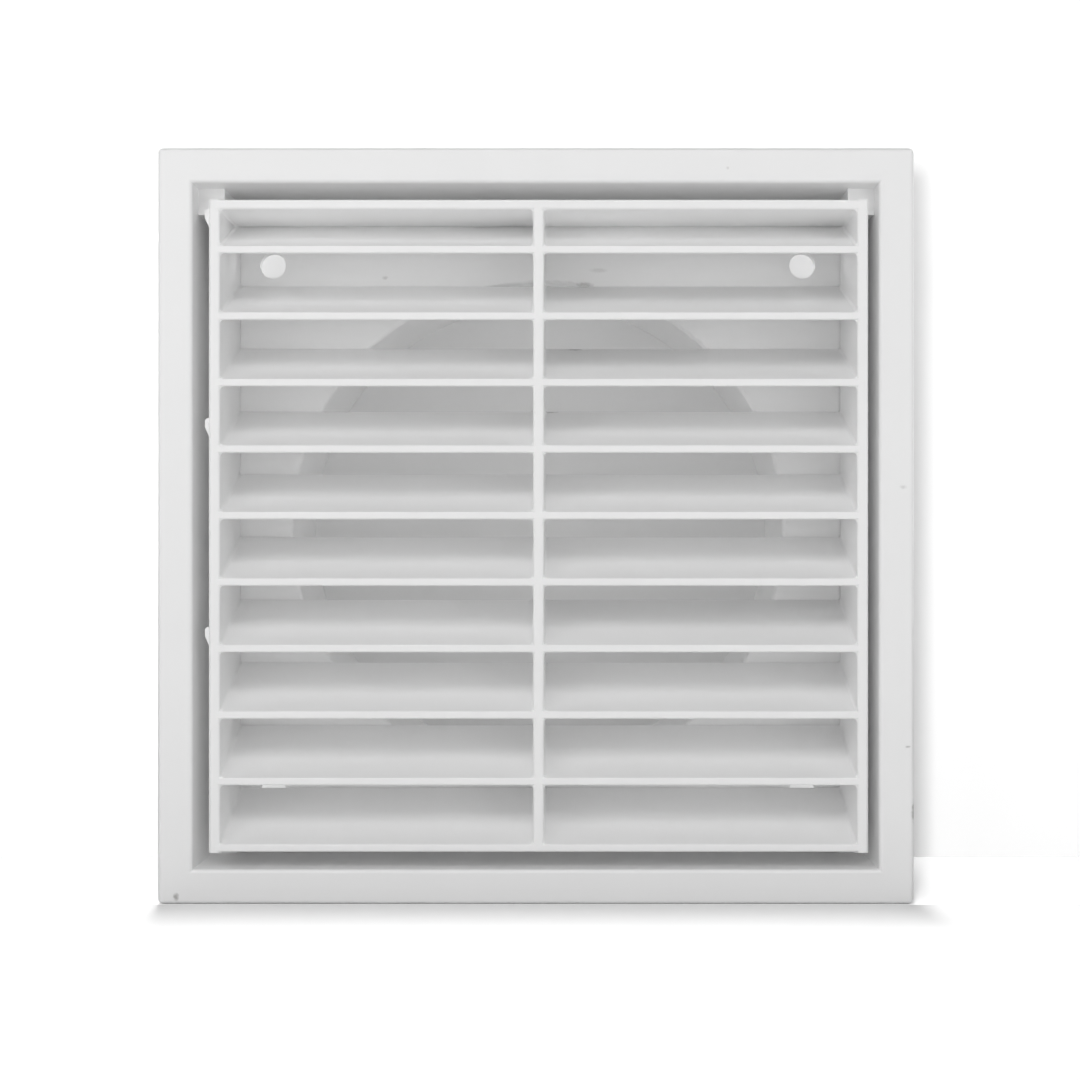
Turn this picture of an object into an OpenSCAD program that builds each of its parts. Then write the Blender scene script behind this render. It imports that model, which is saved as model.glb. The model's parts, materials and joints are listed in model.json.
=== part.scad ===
// Exhaust vent for an outside wall, in two white plastic mouldings: a square base with a round
// duct spigot behind it, and an insert of fixed sloping blades that drops into the base's recess.
// Millimetres. The origin is where the spigot's axis meets the wall. +Y runs back into the
// duct, -Y faces the weather and +Z is up.

/* [Base] */
// Width and height of the square face
face_size = 140; // [116:1:170]
// Depth from the wall to the front of the rim
base_depth = 22.3; // [18:0.1:28]
// Width of the flat rim around the recess
rim_w = 6.5; // [5.5:0.1:9]
// Wall thickness of the moulding
wall_t = 2; // [1.5:0.1:2.5]
// Radius of the four upright corners, seen from the front
corner_r = 1.5; // [0.5:0.1:3]
// Radius along the front edges of the rim
edge_r = 0.8; // [0.3:0.1:1.2]
// Draft of the recess walls, in degrees
draft = 1; // [0.5:0.1:2]

/* [Duct spigot] */
// Inside diameter of the duct opening
bore_d = 96; // [76:1:116]
// Wall thickness of the spigot
spigot_t = 1.7; // [1.4:0.1:3]
// Length of the spigot behind the wall plane
spigot_len = 28; // [15:1:60]
// Lead-in on the outside of the spigot's end
lead_in = 0.8; // [0.4:0.1:1.2]
// Radius round the mouth of the duct opening
mouth_r = 0.8; // [0.3:0.1:1.2]

/* [Screw holes] */
// Diameter of the four screw holes
screw_d = 5; // [3.5:0.5:6]
// Distance from the recess's side walls to each hole's centre
screw_inset = 11.5; // [8:0.5:15]
// Distance from the recess's upper and lower walls to each hole's centre
screw_drop = 12; // [8:0.5:15]

/* [Insert] */
// Gap between the insert and the recess at each side
side_gap = 2.5; // [2:0.1:4]
// Gap between the insert and the recess above and below
end_gap = 3.1; // [2:0.1:4]
// How far the insert sits to the right of the middle
insert_shift = 0.5; // [0:0.1:1]
// Clearance between the insert's back and the backplate
seat_clear = 0.3; // [0.2:0.1:0.6]
// Thickness of the insert's side walls
side_t = 2.1; // [1.5:0.1:3]
// Thickness of the insert's top wall
top_t = 1.85; // [1.2:0.05:3]
// Thickness of the upright bar in the middle
mullion_t = 2; // [1.2:0.1:3]
// Radius along the insert's front edges
insert_r = 0.5; // [0.2:0.1:0.6]

/* [Blades] */
// Height from one blade to the next
blade_pitch = 12.3; // [10:0.1:16]
// Height of a blade's upright front face
blade_face = 1.5; // [1.2:0.1:2]
// Slope of the blades up towards the back, in degrees
blade_slope = 21.4; // [10:0.1:26]
// Radius along the front edges of a blade
nose_r = 0.35; // [0.2:0.05:0.4]
// Fillet in the corners between the blades and the walls and upright bar
cell_r = 0.6; // [0.3:0.1:1]

/* [Corner pads and pips] */
// Length of each leg of a pad, along the recess walls from the corner
pad_leg = 5; // [5:0.5:8]
// How far the upper pads stop short of the rim's front
pad_drop = 5; // [5:0.5:10]
// Height of the lower pads above the backplate
low_pad_h = 4; // [2:0.5:8]
// Clearance between the pads and the insert
pad_clear = 0.25; // [0.2:0.05:0.4]
// Number of pips on the insert's left side
pip_count = 3; // [1:1:3]
// Height from one pip to the next
pip_pitch = 38.7; // [30:0.1:42]
// Distance from the insert's top down to the first pip
pip_drop = 1.7; // [1:0.1:4]
// Height of a pip
pip_h = 3.4; // [2:0.1:5]
// How far a pip stands out at its upper end
pip_out = 0.75; // [0.4:0.05:1]
// Length of a pip back from the insert's front
pip_len = 4; // [2:0.5:4]

/* [Hidden] */
$fn = 48;
bore_fn = 128;
// Overlap that makes walls of one moulding a single solid
fuse = 0.5;
// How far a fillet's arc runs into the faces beside it, so that it crosses them
bite = 0.01;
face_half = face_size / 2;
recess_half = face_half - rim_w;
rim_y = -base_depth;
plate_y = -wall_t;
bore_r = bore_d / 2;
spigot_r = bore_r + spigot_t;
screw_x = recess_half - screw_inset;
screw_z = recess_half - screw_drop;
insert_depth = base_depth - wall_t - seat_clear;
insert_w = 2 * (recess_half - side_gap);
insert_h = 2 * (recess_half - end_gap);
insert_foot = -insert_h / 2;
blade_count = 1 + floor((insert_h - top_t - blade_face) / blade_pitch);
blade_rise = insert_depth * tan(blade_slope);

// A strip w wide and d deep in the XY plane, with its two corners at y = 0 rounded
module nosed_strip(w, d, r) {
    translate([-w / 2, r])
        square([w, d - r]);
    translate([r - w / 2, 0])
        square([w - 2 * r, 2 * r]);
    for (side = [-1, 1])
        translate([side * (w / 2 - r), r])
            circle(r);
}

// Section of the frame on its right side: rim, outer wall and tapered recess wall
module frame_section() {
    taper = base_depth * tan(draft);
    difference() {
        translate([face_half - rim_w / 2, rim_y])
            nosed_strip(rim_w, base_depth, edge_r);
        translate([recess_half + wall_t, rim_y + wall_t])
            square([rim_w - 2 * wall_t, base_depth]);
    }
    polygon([
        [recess_half, rim_y + edge_r],
        [recess_half - taper, 0],
        [recess_half + wall_t / 2, 0],
        [recess_half + wall_t / 2, rim_y + edge_r]
    ]);
}

// One side of the frame, mitred at both ends
module frame_side() {
    intersection() {
        linear_extrude(face_size, center = true)
            frame_section();
        rotate([90, 0, 0])
            linear_extrude(3 * base_depth, center = true)
                polygon([[0, 0], [face_size, -face_size], [face_size, face_size]]);
    }
}

// The frame's outline from the front, with rounded corners
module face_outline() {
    square([face_size, face_size - 2 * corner_r], center = true);
    square([face_size - 2 * corner_r, face_size], center = true);
    for (x = [-1, 1], z = [-1, 1])
        translate([x, z] * (face_half - corner_r))
            circle(corner_r);
}

// The square frame: four mitred sides, with the upright corners rounded
module frame() {
    intersection() {
        for (turn = [0 : 3])
            rotate([0, 90 * turn, 0])
                frame_side();
        rotate([90, 0, 0])
            linear_extrude(3 * base_depth, center = true)
                face_outline();
    }
}

// Spigot with its bell mouth and lead-in, revolved about the duct's axis
module spigot() {
    rotate([-90, 0, 0])
        rotate_extrude($fn = bore_fn) {
            difference() {
                translate([bore_r, plate_y])
                    square([2 * mouth_r + spigot_t, wall_t]);
                translate([bore_r, plate_y])
                    square(mouth_r);
            }
            translate([bore_r + mouth_r, plate_y + mouth_r])
                circle(mouth_r);
            polygon([
                [bore_r, -wall_t / 2],
                [spigot_r, -wall_t / 2],
                [spigot_r, spigot_len - lead_in],
                [spigot_r - lead_in, spigot_len],
                [bore_r, spigot_len]
            ]);
        }
}

// Backplate that closes the recess round the spigot, with the four screw holes
module backplate() {
    reach = recess_half + wall_t / 2;
    difference() {
        translate([-reach, plate_y, -reach])
            cube([2 * reach, wall_t, 2 * reach]);
        rotate([90, 0, 0])
            cylinder(h = 4 * wall_t, r = bore_r + mouth_r, center = true, $fn = bore_fn);
        for (x = [-1, 1], z = [-1, 1])
            translate([x * screw_x, 0, z * screw_z])
                rotate([90, 0, 0])
                    cylinder(h = 4 * wall_t, d = screw_d, center = true);
    }
}

// L-shaped pad in a corner of the recess, which holds the insert's corner in place
module corner_pad(side, end, h) {
    reach = recess_half + wall_t / 2;
    leg = pad_leg + wall_t / 2;
    difference() {
        translate([side * (reach - leg / 2), plate_y - h / 2, end * (reach - leg / 2)])
            cube([leg, h, leg], center = true);
        translate([insert_shift, plate_y - h / 2, 0])
            cube([insert_w + 2 * pad_clear, 2 * h, insert_h + 2 * pad_clear], center = true);
    }
}

// The base, moulded in one piece
module vent_base() {
    color([0.93, 0.93, 0.92])
        union() {
            frame();
            backplate();
            spigot();
            for (side = [-1, 1]) {
                corner_pad(side, 1, base_depth - wall_t - pad_drop);
                corner_pad(side, -1, low_pad_h);
            }
        }
}

// Section of a blade in the YZ plane, from its nose at y = 0 up to its back edge
module blade_section() {
    run = nose_r * (1 - sin(blade_slope));
    run_under = nose_r * (1 + sin(blade_slope));
    lift = nose_r * tan(blade_slope);
    upper_z = blade_face + lift - nose_r / cos(blade_slope);
    lower_z = lift + nose_r / cos(blade_slope);
    translate([nose_r, upper_z])
        circle(nose_r);
    translate([nose_r, lower_z])
        circle(nose_r);
    polygon([
        [0, lower_z],
        [0, upper_z],
        [run, blade_face + run * tan(blade_slope)],
        [insert_depth, blade_face + blade_rise],
        [insert_depth, blade_rise],
        [run_under, run_under * tan(blade_slope)]
    ]);
}

// Turns a section drawn in y and z into a bar of width w along X, centred on x = 0
module across(w) {
    rotate([90, 0, 90])
        linear_extrude(w, center = true)
            children();
}

// One sloping blade, from side wall to side wall
module blade() {
    across(insert_w - 2 * side_t + 2 * fuse)
        blade_section();
}

// Side wall, upright, centred on x = 0 and standing on z = 0
module side_wall() {
    linear_extrude(insert_h)
        nosed_strip(side_t, insert_depth, insert_r);
}

// Top wall
module top_wall() {
    across(insert_w - 2 * side_t + 2 * fuse)
        translate([0, insert_h - top_t / 2])
            rotate(-90)
                nosed_strip(top_t, insert_depth, insert_r);
}

// Upright bar in the middle, from the lowest blade up to the top wall
module mullion() {
    intersection() {
        linear_extrude(insert_h)
            nosed_strip(mullion_t, insert_depth, insert_r);
        across(2 * mullion_t)
            polygon([
                [0, blade_face / 2],
                [0, insert_h - top_t / 2],
                [insert_depth, insert_h - top_t / 2],
                [insert_depth, blade_rise + blade_face / 2]
            ]);
    }
}

// Small wedge on the left side wall, thick at its upper end
module pip() {
    rotate([-90, 0, 0])
        linear_extrude(pip_len)
            polygon([
                [fuse, 0],
                [-pip_out / 2, 0],
                [-pip_out, pip_out / 2],
                [-pip_out, pip_h / 2],
                [0, pip_h],
                [fuse, pip_h]
            ]);
}

// Concave fillet in the inner corner between an upright face at x = 0 and a face that climbs
// towards the back at the given slope. It lies to the right of the upright face where side is 1
// and to its left where side is -1, and below the sloping face where under is true.
module corner_fillet(side, slope, under) {
    length = insert_depth / cos(slope);
    mirror([side < 0 ? 1 : 0, 0, 0])
        rotate([slope - 90, 0, 0])
            mirror([0, under ? 0 : 1, 0])
                translate([0, 0, -length])
                    linear_extrude(3 * length)
                        difference() {
                            translate([-fuse, -fuse])
                                square(cell_r + fuse);
                            translate([cell_r, cell_r] - [bite, bite])
                                circle(cell_r);
                        }
}

// Fillets on two upright faces that stand the given reach to either side of the middle. They
// lie outside the faces where side is 1, as on the bar, and between them where it is -1, as on
// the walls.
module fillet_pair(reach, side, slope, under) {
    for (end = [-1, 1])
        translate([end * reach, 0, 0])
            corner_fillet(end * side, slope, under);
}

// Every fillet of the cells: above and below each blade, and under the top wall. Below the
// lowest blade there is no bar.
module cell_fillets() {
    wall_reach = insert_w / 2 - side_t;
    bar_reach = mullion_t / 2;
    for (i = [0 : blade_count - 1], under = [false, true])
        translate([0, 0, i * blade_pitch + (under ? 0 : blade_face)]) {
            fillet_pair(wall_reach, -1, blade_slope, under);
            if (i > 0 || !under)
                fillet_pair(bar_reach, 1, blade_slope, under);
        }
    translate([0, 0, insert_h - top_t]) {
        fillet_pair(wall_reach, -1, 0, true);
        fillet_pair(bar_reach, 1, 0, true);
    }
}

// The insert's own space from the given depth behind its front to its back
module insert_space(front) {
    translate([0, (insert_depth + front) / 2, insert_h / 2])
        cube([insert_w, insert_depth - front, insert_h], center = true);
}

// The louvre insert, moulded in one piece and seated in the recess
module louvre_insert() {
    color([0.95, 0.95, 0.94])
        translate([insert_shift, rim_y, insert_foot])
            union() {
                for (side = [-1, 1])
                    translate([side * (insert_w - side_t) / 2, 0, 0])
                        side_wall();
                top_wall();
                mullion();
                intersection() {
                    for (i = [0 : blade_count - 1])
                        translate([0, 0, i * blade_pitch])
                            blade();
                    insert_space(0);
                }
                intersection() {
                    cell_fillets();
                    insert_space(nose_r);
                }
                for (i = [0 : pip_count - 1])
                    translate([-insert_w / 2, insert_r, insert_h - pip_drop - i * pip_pitch])
                        pip();
            }
}

vent_base();
louvre_insert();
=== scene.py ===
import json
import math

import bpy
from bpy.props import FloatProperty, FloatVectorProperty, IntProperty, PointerProperty
from bpy.types import Operator, Panel, PropertyGroup
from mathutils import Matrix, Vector


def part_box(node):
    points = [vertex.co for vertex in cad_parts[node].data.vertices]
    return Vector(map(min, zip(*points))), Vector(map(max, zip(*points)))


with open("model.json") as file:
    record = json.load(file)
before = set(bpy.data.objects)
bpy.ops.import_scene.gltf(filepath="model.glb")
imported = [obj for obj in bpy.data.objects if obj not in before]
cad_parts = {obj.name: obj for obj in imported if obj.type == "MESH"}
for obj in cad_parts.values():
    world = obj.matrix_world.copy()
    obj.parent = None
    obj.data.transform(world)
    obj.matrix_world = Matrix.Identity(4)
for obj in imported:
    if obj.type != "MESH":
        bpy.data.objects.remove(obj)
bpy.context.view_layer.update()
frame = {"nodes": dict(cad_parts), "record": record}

bl_info = {
    "name": "Louvre Vent",
    "version": (1, 0, 0),
    "blender": (4, 5, 0),
    "location": "3D View > Sidebar > Louvre Vent",
    "description": "Finishes a white moulded wall vent and lights it on a pale stage",
    "category": "Object",
}

MM = 0.001

# The rim's front stands at the base's lowest y, and the spigot ends at its highest
BASE_LOW, BASE_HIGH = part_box("vent_base")
RIM_FRONT = BASE_LOW.y
SPIGOT_END = BASE_HIGH.y
SPIGOT_RADIUS = 49.7 * MM

# How far behind the spigot's end the paper disc that closes the duct and the backdrop card stand
DUCT_GAP = 0.1 * MM
CARD_GAP = 0.5 * MM

# Radius of the discs of paper behind the screw holes, and how far behind the backplate they stand
HOLE_PAPER = 3.5 * MM
HOLE_GAP = 0.3 * MM

# The photo's side in pixels, and where the rim's middle falls in it, from its upper left
PHOTO_SIZE = 1080
RIM_MIDDLE = (535.76, 526.06)
SENSOR_MM = 36.0

PLASTIC_IOR = 1.5

# Light goes from wall to wall many times in a white moulding's cells and gaps
LIGHT_BOUNCES = 12

# Sides of the paper on the stage
FLOOR_SIDE = 6.0
CARD_SIDE = 0.6

# The floor's own glow grows to white between these distances from the vent's middle
FLOOR_FADE = (0.22, 1.0)

# How the finish treats the CAD meshes: corners nearer than this join, faces that meet at less than
# the first angle become one flat, and edges sharper than the second one are broken
MERGE_DISTANCE = 0.001 * MM
FLAT_ANGLE = math.radians(0.5)
SHARP_ANGLE = math.radians(25)

# Specks and nicks of grime on the rim, and painted shade where the blade backs meet the backplate: the
# place, half the width and half the height in millimetres, and the depth
BASE_SPECKS_AND_SHADE = (
    # Specks and nicks of grime on the rim's front
    ((35.5, -22.3, 66.2), 0.3, 0.3, 0.25),
    ((-66.5, -22.3, -68.6), 0.5, 0.65, 0.75),
    ((67.9, -22.3, 7.2), 0.6, 0.35, 0.25),
    ((68.8, -22.3, -40.8), 0.5, 0.2, 0.5),
    ((70.0, -21.9, -52.9), 0.5, 1.9, 0.7),
    # Painted shade on the backplate, along the seam at the blade backs
    ((-30.0, -2.0, 49.1), 0.5, 0.4, 0.35),
    ((12.0, -2.0, 50.6), 1.6, 0.4, 0.2),
    ((9.2, -2.0, 47.8), 1.7, 0.45, 0.45),
)
# Painted shade on the insert along the blade backs, in the same columns as the base's table
INSERT_PAINTED_SHADE = (
    ((7.3, -2.5, 35.0), 1.4, 0.7, 0.6),
    ((2.6, -2.5, 22.6), 1.3, 0.6, 0.5),
    ((8.9, -2.5, 46.9), 1.2, 0.5, 0.5),
)


class VentPlasticSettings(PropertyGroup):
    base_colour: FloatVectorProperty(
        name="Base colour",
        description="Colour of the square base",
        subtype="COLOR",
        size=3,
        min=0.0,
        max=1.0,
        default=(0.92, 0.92, 0.92),
    )
    insert_colour: FloatVectorProperty(
        name="Insert colour",
        description="Colour of the louvre insert",
        subtype="COLOR",
        size=3,
        min=0.0,
        max=1.0,
        default=(0.93, 0.93, 0.93),
    )
    # Colours the rim's specks and nicks of grime, and also the painted shade at the blade backs
    speck_and_shade_colour: FloatVectorProperty(
        name="Mark colour",
        description="Colour of the dirt in the specks and nicks",
        subtype="COLOR",
        size=3,
        min=0.0,
        max=1.0,
        default=(0.35, 0.34, 0.33),
    )
    clouding: FloatProperty(
        name="Clouding",
        description="How far the plastic's tone drifts from place to place",
        default=0.02,
        min=0.0,
        max=0.2,
        subtype="FACTOR",
    )
    cloud_size: FloatProperty(
        name="Cloud size",
        description="Width of the drifts in the plastic's tone",
        default=22.0 * MM,
        min=1.0 * MM,
        max=200.0 * MM,
        subtype="DISTANCE",
        unit="LENGTH",
    )
    roughness: FloatProperty(
        name="Roughness",
        description="Roughness of the satin moulded skin",
        default=0.42,
        min=0.0,
        max=1.0,
        subtype="FACTOR",
    )
    grain_size: FloatProperty(
        name="Grain size",
        description="Size of the fine grain in the moulded skin",
        default=0.6 * MM,
        min=0.1 * MM,
        max=5.0 * MM,
        precision=5,
        subtype="DISTANCE",
        unit="LENGTH",
    )
    grain_height: FloatProperty(
        name="Grain height",
        description="Height of the fine grain in the moulded skin",
        default=0.003 * MM,
        min=0.0,
        max=0.1 * MM,
        precision=6,
        subtype="DISTANCE",
        unit="LENGTH",
    )
    edge_radius: FloatProperty(
        name="Edge radius",
        description="Radius that breaks the sharp moulded edges",
        default=0.15 * MM,
        min=0.02 * MM,
        max=0.5 * MM,
        precision=5,
        subtype="DISTANCE",
        unit="LENGTH",
    )
    edge_segments: IntProperty(
        name="Edge segments",
        description="Flats across each broken edge",
        default=2,
        min=1,
        max=6,
    )


class VentStageSettings(PropertyGroup):
    paper_colour: FloatVectorProperty(
        name="Paper colour",
        description="Colour of the floor and the backdrop card",
        subtype="COLOR",
        size=3,
        min=0.0,
        max=1.0,
        default=(0.75, 0.75, 0.75),
    )
    floor_bounce: FloatVectorProperty(
        name="Floor bounce",
        description="Colour of the floor for the light that it throws back on the vent",
        subtype="COLOR",
        size=3,
        min=0.0,
        max=1.0,
        default=(0.45, 0.45, 0.45),
    )
    duct_colour: FloatVectorProperty(
        name="Duct colour",
        description="Colour of the paper disc that closes the duct behind the vent",
        subtype="COLOR",
        size=3,
        min=0.0,
        max=1.0,
        default=(0.90, 0.90, 0.90),
    )
    duct_glow: FloatProperty(
        name="Duct glow",
        description="Light that the disc in the duct adds towards the camera, where 1 is white",
        default=0.01,
        min=0.0,
        max=1.0,
    )
    duct_shine: FloatProperty(
        name="Duct shine",
        description="Light that the disc in the duct throws on the tube around it, where 1 is white",
        default=0.065,
        min=0.0,
        max=1.0,
    )
    hole_glow: FloatProperty(
        name="Hole glow",
        description="Brightness of the paper seen through the screw holes, where 1 is white",
        default=0.36,
        min=0.0,
        max=1.0,
    )
    card_glow: FloatProperty(
        name="Card glow",
        description="Light that the card adds towards the camera, where 1 is white",
        default=0.105,
        min=0.0,
        max=1.0,
    )
    front_glow: FloatProperty(
        name="Front floor glow",
        description="Light that the floor in front of the vent adds towards the camera, where 1 is white",
        default=0.11,
        min=0.0,
        max=1.0,
    )
    back_glow: FloatProperty(
        name="Back floor glow",
        description="Light that the floor behind the vent's front adds towards the camera",
        default=0.32,
        min=0.0,
        max=1.0,
    )
    ambient: FloatProperty(
        name="Ambient",
        description="Strength of the even light from all round",
        default=0.176,
        min=0.0,
        max=2.0,
    )
    left_power: FloatProperty(
        name="Left lamp",
        description="Power of the soft lamp near the vent at the left",
        default=0.45,
        min=0.0,
        max=200.0,
        subtype="POWER",
        unit="POWER",
    )
    right_power: FloatProperty(
        name="Right lamp",
        description="Power of the soft lamp near the vent at the right",
        default=0.435,
        min=0.0,
        max=200.0,
        subtype="POWER",
        unit="POWER",
    )
    top_power: FloatProperty(
        name="Top lamp",
        description="Power of the broad lamp in front and above",
        default=3.6,
        min=0.0,
        max=200.0,
        subtype="POWER",
        unit="POWER",
    )
    card_power: FloatProperty(
        name="Card lamp",
        description="Power of the lamp that lights the card alone",
        default=3.45,
        min=0.0,
        max=200.0,
        subtype="POWER",
        unit="POWER",
    )
    front_power: FloatProperty(
        name="Front floor lamp",
        description="Power of the high lamp that lights the floor in front of the vent alone",
        default=3100.0,
        min=0.0,
        max=10000.0,
        subtype="POWER",
        unit="POWER",
    )
    behind_power: FloatProperty(
        name="Back floor lamp",
        description="Power of the high lamp that lights the floor behind the vent's front alone",
        default=2300.0,
        min=0.0,
        max=10000.0,
        subtype="POWER",
        unit="POWER",
    )
    back_power: FloatProperty(
        name="Back lamps",
        description="Power of each of the two broad lamps that light the vent's back and sides alone",
        default=4.5,
        min=0.0,
        max=200.0,
        subtype="POWER",
        unit="POWER",
    )
    camera_distance: FloatProperty(
        name="Camera distance",
        description="Distance from the rim's front to the camera",
        default=322.0 * MM,
        min=100.0 * MM,
        max=5.0,
        subtype="DISTANCE",
        unit="LENGTH",
    )
    camera_right: FloatProperty(
        name="Camera to the right",
        description="How far the camera stands to the right of the rim's middle",
        default=6.0 * MM,
        min=-1.0,
        max=1.0,
        subtype="DISTANCE",
        unit="LENGTH",
    )
    camera_below: FloatProperty(
        name="Camera below",
        description="How far the camera stands below the rim's middle",
        default=5.5 * MM,
        min=-1.0,
        max=1.0,
        subtype="DISTANCE",
        unit="LENGTH",
    )
    face_pixels: FloatProperty(
        name="Face in the frame",
        description="Width of the vent's face in the photo's frame, in pixels",
        default=757.4,
        min=100.0,
        max=1000.0,
        subtype="PIXEL",
    )


def new_material(name):
    material = bpy.data.materials.new(name)
    material.use_nodes = True
    material.node_tree.nodes.clear()
    return material


def add_node(tree, kind, **values):
    node = tree.nodes.new(kind)
    for key, value in values.items():
        setattr(node, key, value)
    return node


def feed(tree, socket, value):
    """Links an output to a socket, or sets the socket to a plain value."""
    if isinstance(value, bpy.types.NodeSocket):
        tree.links.new(value, socket)
    else:
        socket.default_value = value


def maths(tree, operation, *values):
    node = add_node(tree, "ShaderNodeMath", operation=operation)
    for socket, value in zip(node.inputs, values):
        feed(tree, socket, value)
    return node.outputs["Value"]


def vector_maths(tree, operation, *values):
    node = add_node(tree, "ShaderNodeVectorMath", operation=operation)
    for socket, value in zip(node.inputs, values):
        feed(tree, socket, value)
    return node.outputs["Value" if operation == "LENGTH" else "Vector"]


def noise(tree, place, size, detail):
    node = add_node(tree, "ShaderNodeTexNoise")
    node.inputs["Scale"].default_value = 1.0 / size
    node.inputs["Detail"].default_value = detail
    tree.links.new(place, node.inputs["Vector"])
    return node.outputs["Fac"]


def spread(tree, value, low, high):
    """Carries a value from 0 to 1 over to the range from low to high."""
    node = add_node(tree, "ShaderNodeMapRange")
    node.inputs["To Min"].default_value = low
    node.inputs["To Max"].default_value = high
    tree.links.new(value, node.inputs["Value"])
    return node.outputs["Result"]


def mixed_colour(tree, factor, first, second):
    """Mixes two colours. The node holds sockets of like names for each kind of value."""
    node = add_node(tree, "ShaderNodeMix", data_type="RGBA")
    colours = [socket for socket in node.inputs if socket.type == "RGBA"]
    feed(tree, node.inputs["Factor"], factor)
    feed(tree, colours[0], first)
    feed(tree, colours[1], second)
    return next(socket for socket in node.outputs if socket.type == "RGBA")


def speck_and_shade_mask(tree, place, ragged, marks):
    """How deep the grime of the specks and the painted shade at the blade backs lie at each place: 0 on
    clean plastic, and up to each mark's own depth.
    """
    clear_from = 1.3
    full_within = 0.4
    mask = 0.0
    for spot, half_width, half_height, depth in marks:
        size = (1 / (half_width * MM), 1 / (half_height * MM), 1 / (half_height * MM))
        centre = [-v * MM * s for v, s in zip(spot, size)]
        away = vector_maths(tree, "LENGTH", vector_maths(tree, "MULTIPLY_ADD", place, size, centre))
        fade = add_node(tree, "ShaderNodeMapRange")
        fade.inputs["From Min"].default_value = clear_from
        fade.inputs["From Max"].default_value = full_within
        fade.inputs["To Max"].default_value = depth
        tree.links.new(maths(tree, "ADD", away, ragged), fade.inputs["Value"])
        mask = maths(tree, "MAXIMUM", mask, fade.outputs["Result"])
    return mask


def moulded_plastic(name, colour, marks, settings):
    """Satin white plastic: clouding in its tone, a fine moulded grain, its specks of grime, and painted
    shade where the blade backs meet the backplate.
    """
    material = new_material(name)
    tree = material.node_tree
    output = add_node(tree, "ShaderNodeOutputMaterial")
    shader = add_node(tree, "ShaderNodeBsdfPrincipled")
    place = add_node(tree, "ShaderNodeTexCoord").outputs["Object"]
    shader.inputs["IOR"].default_value = PLASTIC_IOR
    tree.links.new(shader.outputs["BSDF"], output.inputs["Surface"])

    cloud = noise(tree, place, settings.cloud_size, detail=2)
    grain = noise(tree, place, settings.grain_size, detail=1)
    darker = (*[c * (1 - settings.clouding) for c in colour], 1.0)
    lighter = (*[min(1.0, c * (1 + settings.clouding)) for c in colour], 1.0)
    clean = mixed_colour(tree, cloud, darker, lighter)
    # The marks mix in the rim's specks of grime and painted shade along the blade backs
    dirt_and_painted_shade = (*settings.speck_and_shade_colour, 1.0)
    mask = speck_and_shade_mask(tree, place, spread(tree, grain, -0.5, 0.5), marks)
    tree.links.new(mixed_colour(tree, mask, clean, dirt_and_painted_shade), shader.inputs["Base Color"])

    drift = 0.05
    skin = spread(tree, grain, settings.roughness - drift, settings.roughness + drift)
    tree.links.new(maths(tree, "ADD", skin, mask), shader.inputs["Roughness"])
    bump = add_node(tree, "ShaderNodeBump")
    bump.inputs["Distance"].default_value = settings.grain_height
    tree.links.new(grain, bump.inputs["Height"])
    tree.links.new(bump.outputs["Normal"], shader.inputs["Normal"])
    return material


def finish_node(name, material, settings):
    """Breaks a CAD node's sharp edges and gives it its material."""
    piece = frame["nodes"][name]
    weld = piece.modifiers.new("Weld", "WELD")
    weld.merge_threshold = MERGE_DISTANCE
    flats = piece.modifiers.new("Flats", "DECIMATE")
    flats.decimate_type = "DISSOLVE"
    flats.angle_limit = FLAT_ANGLE
    edges = piece.modifiers.new("Edges", "BEVEL")
    edges.width = settings.edge_radius
    edges.segments = settings.edge_segments
    edges.limit_method = "ANGLE"
    edges.angle_limit = SHARP_ANGLE
    edges.harden_normals = True
    piece.data.materials.clear()
    piece.data.materials.append(material)


class VENT_OT_base(Operator):
    """Finish the square base: its edges and its white moulded plastic"""

    bl_idname = "vent.base"
    bl_label = "Vent Base"

    def execute(self, context):
        settings = context.scene.vent_plastic
        plastic = moulded_plastic("base_white", settings.base_colour, BASE_SPECKS_AND_SHADE, settings)
        finish_node("vent_base", plastic, settings)
        return {"FINISHED"}


class VENT_OT_insert(Operator):
    """Finish the louvre insert: its edges and its white moulded plastic"""

    bl_idname = "vent.insert"
    bl_label = "Louvre Insert"

    def execute(self, context):
        settings = context.scene.vent_plastic
        plastic = moulded_plastic("insert_white", settings.insert_colour, INSERT_PAINTED_SHADE, settings)
        finish_node("louvre_insert", plastic, settings)
        return {"FINISHED"}


def lit_paper(tree, colour, glow):
    """Matt paper that takes shadows and adds a glow, so that it reaches white."""
    matt = add_node(tree, "ShaderNodeBsdfDiffuse")
    shine = add_node(tree, "ShaderNodeEmission")
    both = add_node(tree, "ShaderNodeAddShader")
    feed(tree, matt.inputs["Color"], colour)
    feed(tree, shine.inputs["Strength"], glow)
    tree.links.new(matt.outputs["BSDF"], both.inputs[0])
    tree.links.new(shine.outputs["Emission"], both.inputs[1])
    return both.outputs["Shader"]


def floor_paper(name, near_glow, settings):
    """White for the camera. The light that it throws back on the vent is that of greyer paper."""
    material = new_material(name)
    tree = material.node_tree
    output = add_node(tree, "ShaderNodeOutputMaterial")
    camera = add_node(tree, "ShaderNodeLightPath").outputs["Is Camera Ray"]
    seen = (*settings.paper_colour, 1.0)
    thrown = (*settings.floor_bounce, 1.0)
    glow = add_node(tree, "ShaderNodeMapRange")
    glow.inputs["From Min"].default_value, glow.inputs["From Max"].default_value = FLOOR_FADE
    glow.inputs["To Min"].default_value = near_glow
    away = vector_maths(tree, "LENGTH", add_node(tree, "ShaderNodeTexCoord").outputs["Object"])
    tree.links.new(away, glow.inputs["Value"])
    glow = maths(tree, "MULTIPLY", camera, glow.outputs["Result"])
    paper = lit_paper(tree, mixed_colour(tree, camera, thrown, seen), glow)
    tree.links.new(paper, output.inputs["Surface"])
    return material


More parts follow.
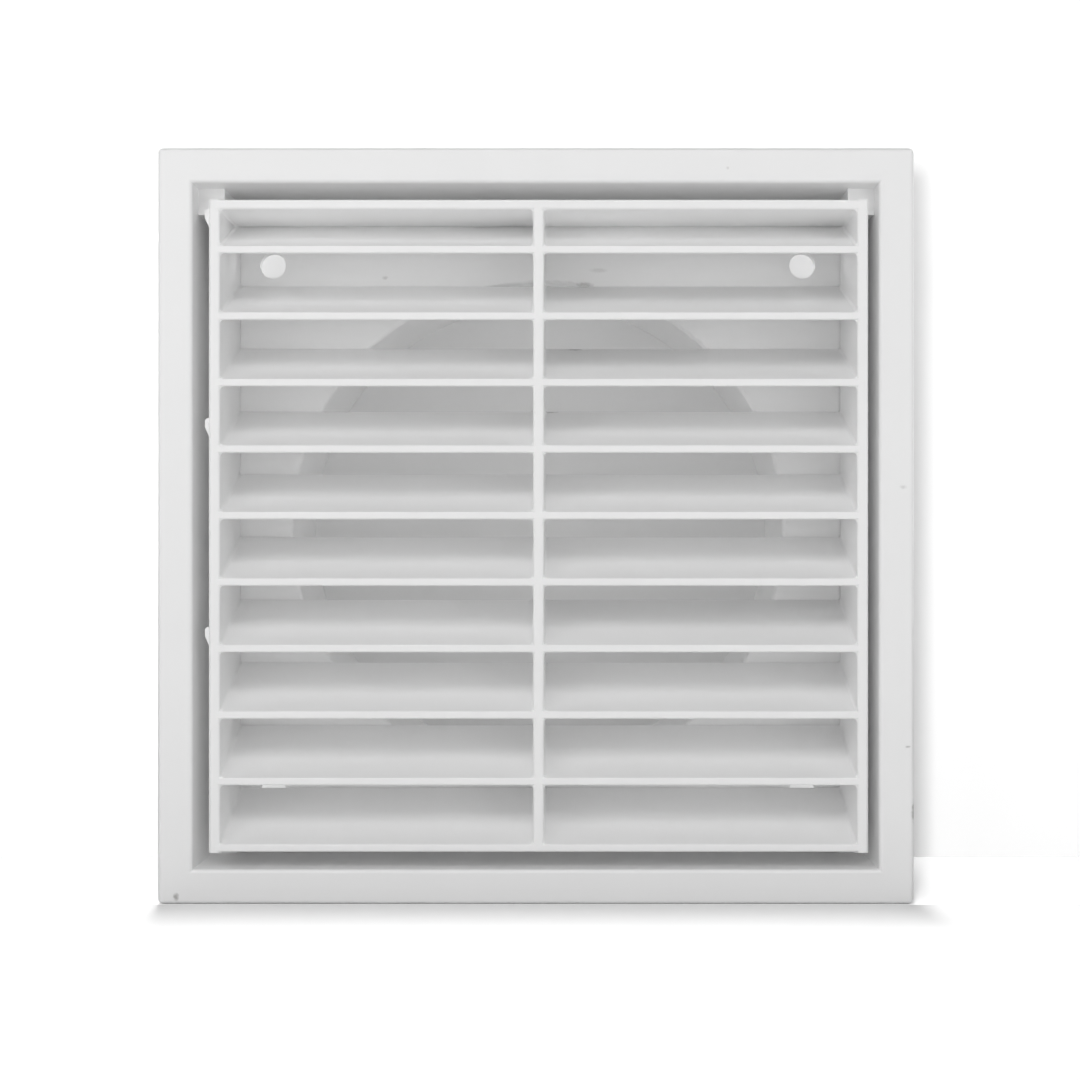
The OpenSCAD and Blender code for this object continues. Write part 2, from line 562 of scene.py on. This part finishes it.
def one_sided_paper(name, colour, camera_glow, stops_light, glow=0.0):
    """Paper that only shows from the front. It lets light through, unless it stops light there."""
    material = new_material(name)
    tree = material.node_tree
    output = add_node(tree, "ShaderNodeOutputMaterial")
    camera = add_node(tree, "ShaderNodeLightPath").outputs["Is Camera Ray"]
    behind = add_node(tree, "ShaderNodeNewGeometry").outputs["Backfacing"]
    clear = add_node(tree, "ShaderNodeBsdfTransparent")
    choose = add_node(tree, "ShaderNodeMixShader")
    shows = maths(tree, "SUBTRACT", 1.0, behind)
    if not stops_light:
        shows = maths(tree, "MULTIPLY", shows, camera)
    tree.links.new(shows, choose.inputs["Fac"])
    tree.links.new(clear.outputs["BSDF"], choose.inputs[1])
    glow = spread(tree, camera, glow, camera_glow)
    tree.links.new(lit_paper(tree, (*colour, 1.0), glow), choose.inputs[2])
    tree.links.new(choose.outputs["Shader"], output.inputs["Surface"])
    return material


def rectangle(low, high):
    """Outline of a rectangle between two corners of the xy plane."""
    return [(low[0], low[1], 0), (high[0], low[1], 0), (high[0], high[1], 0), (low[0], high[1], 0)]


def circle(radius, corners=96):
    turns = [math.tau * i / corners for i in range(corners)]
    return [(radius * math.cos(t), radius * math.sin(t), 0) for t in turns]


def screw_holes():
    """Places of the screw holes' middles at the backplate's back, from the part's bolt pattern."""
    pattern = next(mount for mount in frame["record"]["mounts"] if mount["name"] == "screw_holes")
    x = pattern["dims"]["spacing_x_mm"] / 2 * MM
    z = pattern["dims"]["spacing_y_mm"] / 2 * MM
    return [(-x, 0, -z), (x, 0, -z), (-x, 0, z), (x, 0, z)]


def stage_sheet(name, outline, place, turn, material):
    """A flat sheet of paper for the stage."""
    mesh = bpy.data.meshes.new(name)
    mesh.from_pydata(outline, [], [range(len(outline))])
    mesh.materials.append(material)
    sheet = bpy.data.objects.new(name, mesh)
    sheet.location = place
    sheet.rotation_euler = turn
    bpy.context.scene.collection.objects.link(sheet)


def soft_lamp(name, power, azimuth, elevation, size, distance):
    """A lamp aimed at the vent. Azimuth 0 is straight in front, and more is to the right."""
    lamp = bpy.data.lights.new(name + "_lamp", "AREA")
    lamp.shape = "RECTANGLE"
    lamp.size, lamp.size_y = size
    lamp.energy = power
    turn, climb = math.radians(azimuth), math.radians(elevation)
    aim = Vector((math.sin(turn) * math.cos(climb), -math.cos(turn) * math.cos(climb), math.sin(climb)))
    holder = bpy.data.objects.new(name + "_lamp", lamp)
    holder.location = distance * aim
    holder.rotation_euler = aim.to_track_quat("Z", "Y").to_euler()
    holder.visible_camera = False
    bpy.context.scene.collection.objects.link(holder)
    return holder


def light_only(lamp, names):
    """Keeps a lamp's light on the named objects. All the others still throw their shadows there."""
    lit = bpy.data.collections.new(lamp.name + "_lights")
    for name in names:
        lit.objects.link(bpy.data.objects[name])
    lamp.light_linking.receiver_collection = lit


def world_light(ambient):
    """Even light from all round, and plain white wherever the camera or a gloss sees it."""
    world = bpy.data.worlds.new("studio")
    world.use_nodes = True
    tree = world.node_tree
    tree.nodes.clear()
    output = add_node(tree, "ShaderNodeOutputWorld")
    glow = add_node(tree, "ShaderNodeBackground")
    glow.inputs["Color"].default_value = (1.0, 1.0, 1.0, 1.0)
    rays = add_node(tree, "ShaderNodeLightPath").outputs
    sees = maths(tree, "MAXIMUM", rays["Is Camera Ray"], rays["Is Transmission Ray"])
    sees = maths(tree, "MAXIMUM", sees, rays["Is Glossy Ray"])
    tree.links.new(spread(tree, sees, ambient, 1.0), glow.inputs["Strength"])
    tree.links.new(glow.outputs["Background"], output.inputs["Surface"])
    bpy.context.scene.world = world


def add_camera(settings):
    """Looks straight at the vent's front, and shifts its frame to where the photo has the rim."""
    face = BASE_HIGH.x - BASE_LOW.x
    scale = settings.face_pixels / face
    lens = bpy.data.cameras.new("camera")
    lens.sensor_width = SENSOR_MM
    lens.lens = SENSOR_MM * scale * settings.camera_distance / PHOTO_SIZE
    lens.shift_x = 0.5 - (RIM_MIDDLE[0] + scale * settings.camera_right) / PHOTO_SIZE
    lens.shift_y = (RIM_MIDDLE[1] + scale * settings.camera_below) / PHOTO_SIZE - 0.5
    lens.clip_start = 10 * MM
    camera = bpy.data.objects.new("camera", lens)
    camera.location = (settings.camera_right, RIM_FRONT - settings.camera_distance, -settings.camera_below)
    camera.rotation_euler = (math.radians(90), 0.0, 0.0)
    bpy.context.scene.collection.objects.link(camera)
    bpy.context.scene.camera = camera


class VENT_OT_stage(Operator):
    """Make the pale floor and backdrop, the soft lamps and the camera"""

    bl_idname = "vent.stage"
    bl_label = "Pale Stage"

    def execute(self, context):
        settings = context.scene.vent_stage
        upright = (math.radians(90), 0, 0)
        near_floor = floor_paper("front_paper", settings.front_glow, settings)
        far_floor = floor_paper("back_paper", settings.back_glow, settings)
        card = one_sided_paper("card_paper", settings.paper_colour, settings.card_glow, False)
        lining = one_sided_paper(
            "duct_paper", settings.duct_colour, settings.duct_glow, True, settings.duct_shine
        )
        half = FLOOR_SIDE / 2
        front = rectangle((-half, -half), (half, RIM_FRONT))
        back = rectangle((-half, RIM_FRONT), (half, half))
        stage_sheet("floor_front", front, (0, 0, BASE_LOW.z), (0, 0, 0), near_floor)
        stage_sheet("floor_back", back, (0, 0, BASE_LOW.z), (0, 0, 0), far_floor)
        half = CARD_SIDE / 2
        outline = rectangle((-half, -half), (half, half))
        stage_sheet("card", outline, (0, SPIGOT_END + CARD_GAP, 0), upright, card)
        stage_sheet("duct_end", circle(SPIGOT_RADIUS), (0, SPIGOT_END + DUCT_GAP, 0), upright, lining)
        beyond = one_sided_paper("hole_paper", settings.paper_colour, settings.hole_glow, False)
        for number, (x, y, z) in enumerate(screw_holes(), 1):
            stage_sheet(f"hole_{number}", circle(HOLE_PAPER), (x, y + HOLE_GAP, z), upright, beyond)
        world_light(settings.ambient)
        near = {"size": (0.3, 0.3), "distance": 0.45}
        broad = {"size": (0.5, 0.5), "distance": 1.3}
        soft_lamp("left", settings.left_power, -35, 15, **near)
        soft_lamp("right", settings.right_power, 35, 0, **near)
        soft_lamp("top", settings.top_power, 0, 38, **broad)
        vent = ("vent_base", "louvre_insert")
        light_only(soft_lamp("back_left", settings.back_power, -140, 8, **broad), vent)
        light_only(soft_lamp("back_right", settings.back_power, 140, 8, **broad), vent)
        lamp = soft_lamp("card", settings.card_power, -8, -2.6, size=(0.067, 0.067), distance=0.73)
        light_only(lamp, ["card"])
        lamp = soft_lamp("front", settings.front_power, -172, 85.5, size=(0.7, 3.1), distance=20.0)
        light_only(lamp, ["floor_front"])
        lamp = soft_lamp("behind", settings.behind_power, -8, 78.6, size=(0.5, 8.0), distance=20.0)
        lamp.location.x -= 0.62
        light_only(lamp, ["floor_back"])
        add_camera(settings)
        context.scene.cycles.diffuse_bounces = LIGHT_BOUNCES
        context.scene.view_settings.view_transform = "Standard"
        return {"FINISHED"}


class VENT_PT_panel(Panel):
    bl_label = "Louvre Vent"
    bl_idname = "VENT_PT_panel"
    bl_space_type = "VIEW_3D"
    bl_region_type = "UI"
    bl_category = "Louvre Vent"

    def draw(self, context):
        scene = context.scene
        for settings in (scene.vent_plastic, scene.vent_stage):
            column = self.layout.column()
            for key in settings.__annotations__:
                column.prop(settings, key)
        for operator in (VENT_OT_base, VENT_OT_insert, VENT_OT_stage):
            self.layout.operator(operator.bl_idname)


CLASSES = (
    VentPlasticSettings,
    VentStageSettings,
    VENT_OT_base,
    VENT_OT_insert,
    VENT_OT_stage,
    VENT_PT_panel,
)


def register():
    for cls in CLASSES:
        bpy.utils.register_class(cls)
    bpy.types.Scene.vent_plastic = PointerProperty(type=VentPlasticSettings)
    bpy.types.Scene.vent_stage = PointerProperty(type=VentStageSettings)


def unregister():
    del bpy.types.Scene.vent_plastic
    del bpy.types.Scene.vent_stage
    for cls in reversed(CLASSES):
        bpy.utils.unregister_class(cls)


def main():
    register()
    bpy.ops.vent.base()
    bpy.ops.vent.insert()
    bpy.ops.vent.stage()


if __name__ == "__main__":
    main()
